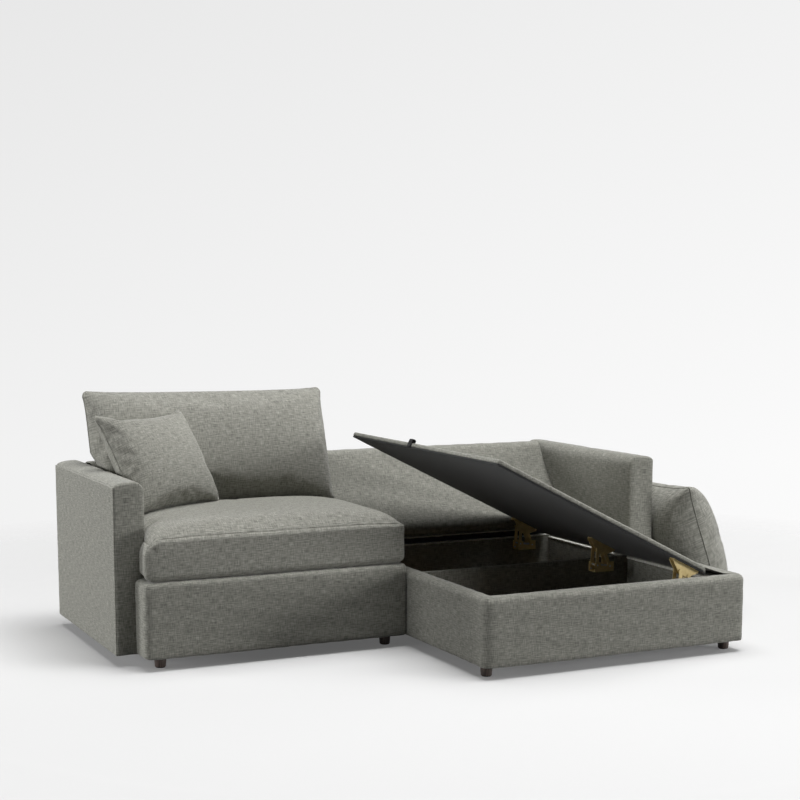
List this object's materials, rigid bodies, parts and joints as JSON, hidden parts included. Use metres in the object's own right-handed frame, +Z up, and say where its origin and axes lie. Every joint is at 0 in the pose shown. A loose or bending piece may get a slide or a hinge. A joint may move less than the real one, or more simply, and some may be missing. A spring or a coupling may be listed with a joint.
{
  "type": "sectional sofa",
  "caption": "Sectional sofa: a seat with a left arm beside a chaise whose base is a storage box with a lift-up lid, with loose cushions.",
  "frame": {"origin": "middle of the floor rectangle under the whole sofa", "axes": "+Z up, +X along the sofa from the left arm to the chaise, +Y from the front to the back"},
  "size_m": [2.5762, 1.56, 0.9179],
  "materials": {
    "upholstery": "heathered plain weave",
    "cushion_fabric": "heathered plain weave",
    "lining": "matte lining cloth",
    "black_cloth": "matte",
    "pull_tape": "woven tape",
    "timber": "planed",
    "plywood": "sanded",
    "foot_wood": "dark satin stain",
    "steel": "plain",
    "yellow_zinc": "yellow zinc plating"
  },
  "bodies": {
    "sofa": {"left_seat_frame": "timber", "left_seat_springs": "steel", "left_spring_clips": "steel", "left_deck_pad": "black_cloth", "left_base_cover": "upholstery", "left_arm_frame": "timber", "left_arm_cover": "upholstery", "left_arm_side_panel": "upholstery", "left_arm_bolts": "steel", "left_back_frame": "timber", "left_back_webbing": "black_cloth", "left_back_cover": "upholstery", "left_back_panel": "upholstery", "left_dust_cover": "black_cloth", "left_feet": "foot_wood", "left_foot_bolts": "steel", "storage_box_frame": "timber", "storage_box_cover": "upholstery", "storage_lining": "lining", "storage_floor": "plywood", "storage_divider": "lining", "rear_strip": "black_cloth", "hinge_lower_brackets": "yellow_zinc", "hinge_pins": "steel", "hinge_springs": "steel", "bracket_screws": "steel", "right_arm_frame": "timber", "right_arm_cover": "upholstery", "right_arm_side_panel": "upholstery", "right_arm_bolts": "steel", "right_back_frame": "timber", "right_back_webbing": "black_cloth", "right_back_cover": "upholstery", "right_back_panel": "upholstery", "right_dust_cover": "black_cloth", "right_feet": "foot_wood", "right_foot_bolts": "steel", "connector_tongues": "steel", "connector_sockets": "steel"},
    "lid": {"lid_board": "plywood", "lid_cover": "upholstery", "lid_lining": "lining", "lid_pull_tab": "pull_tape", "lid_screws": "steel", "hinge_upper_brackets": "yellow_zinc"},
    "left_links": {"hinge_left_arms": "yellow_zinc"},
    "right_links": {"hinge_right_arms": "yellow_zinc"},
    "seat_cushion": {"seat_cushion": "cushion_fabric"},
    "back_cushion": {"back_cushion": "cushion_fabric"},
    "throw_pillow": {"throw_pillow": "cushion_fabric"},
    "chaise_back_cushion": {"chaise_back_cushion": "cushion_fabric"}
  },
  "joints": [
    {"name": "lid_hinge", "type": "hinge", "parent": "sofa", "child": "lid", "pos_m": [0.72988, -0.154, 0.406], "axis": [0, 1, 0], "range_deg": [-26.7, 0]},
    {"name": "left_link_fold", "type": "hinge", "parent": "sofa", "child": "left_links", "pos_m": [0.58588, -0.154, 0.247], "axis": [0, 1, 0], "range_deg": [0, 79.4]},
    {"name": "right_link_fold", "type": "hinge", "parent": "sofa", "child": "right_links", "pos_m": [0.64288, -0.154, 0.24], "axis": [0, 1, 0], "range_deg": [0, 93.2]},
    {"name": "seat_cushion_lift", "type": "slide", "parent": "sofa", "child": "seat_cushion", "axis": [0, 0, 1], "range_m": [0, 0.25]},
    {"name": "back_cushion_lift", "type": "slide", "parent": "seat_cushion", "child": "back_cushion", "axis": [0, 0.3173, 0.9483], "range_m": [0, 0.3]},
    {"name": "throw_pillow_lift", "type": "slide", "parent": "back_cushion", "child": "throw_pillow", "axis": [0, -0.6, 0.8], "range_m": [0, 0.3]},
    {"name": "chaise_cushion_lift", "type": "slide", "parent": "sofa", "child": "chaise_back_cushion", "axis": [0.6, 0, 0.8], "range_m": [0, 0.4]}
  ],
  "couplings": [
    {"joint": "left_link_fold", "follows": "lid_hinge", "ratio": -2.9719},
    {"joint": "right_link_fold", "follows": "lid_hinge", "ratio": -3.4898}
  ]
}
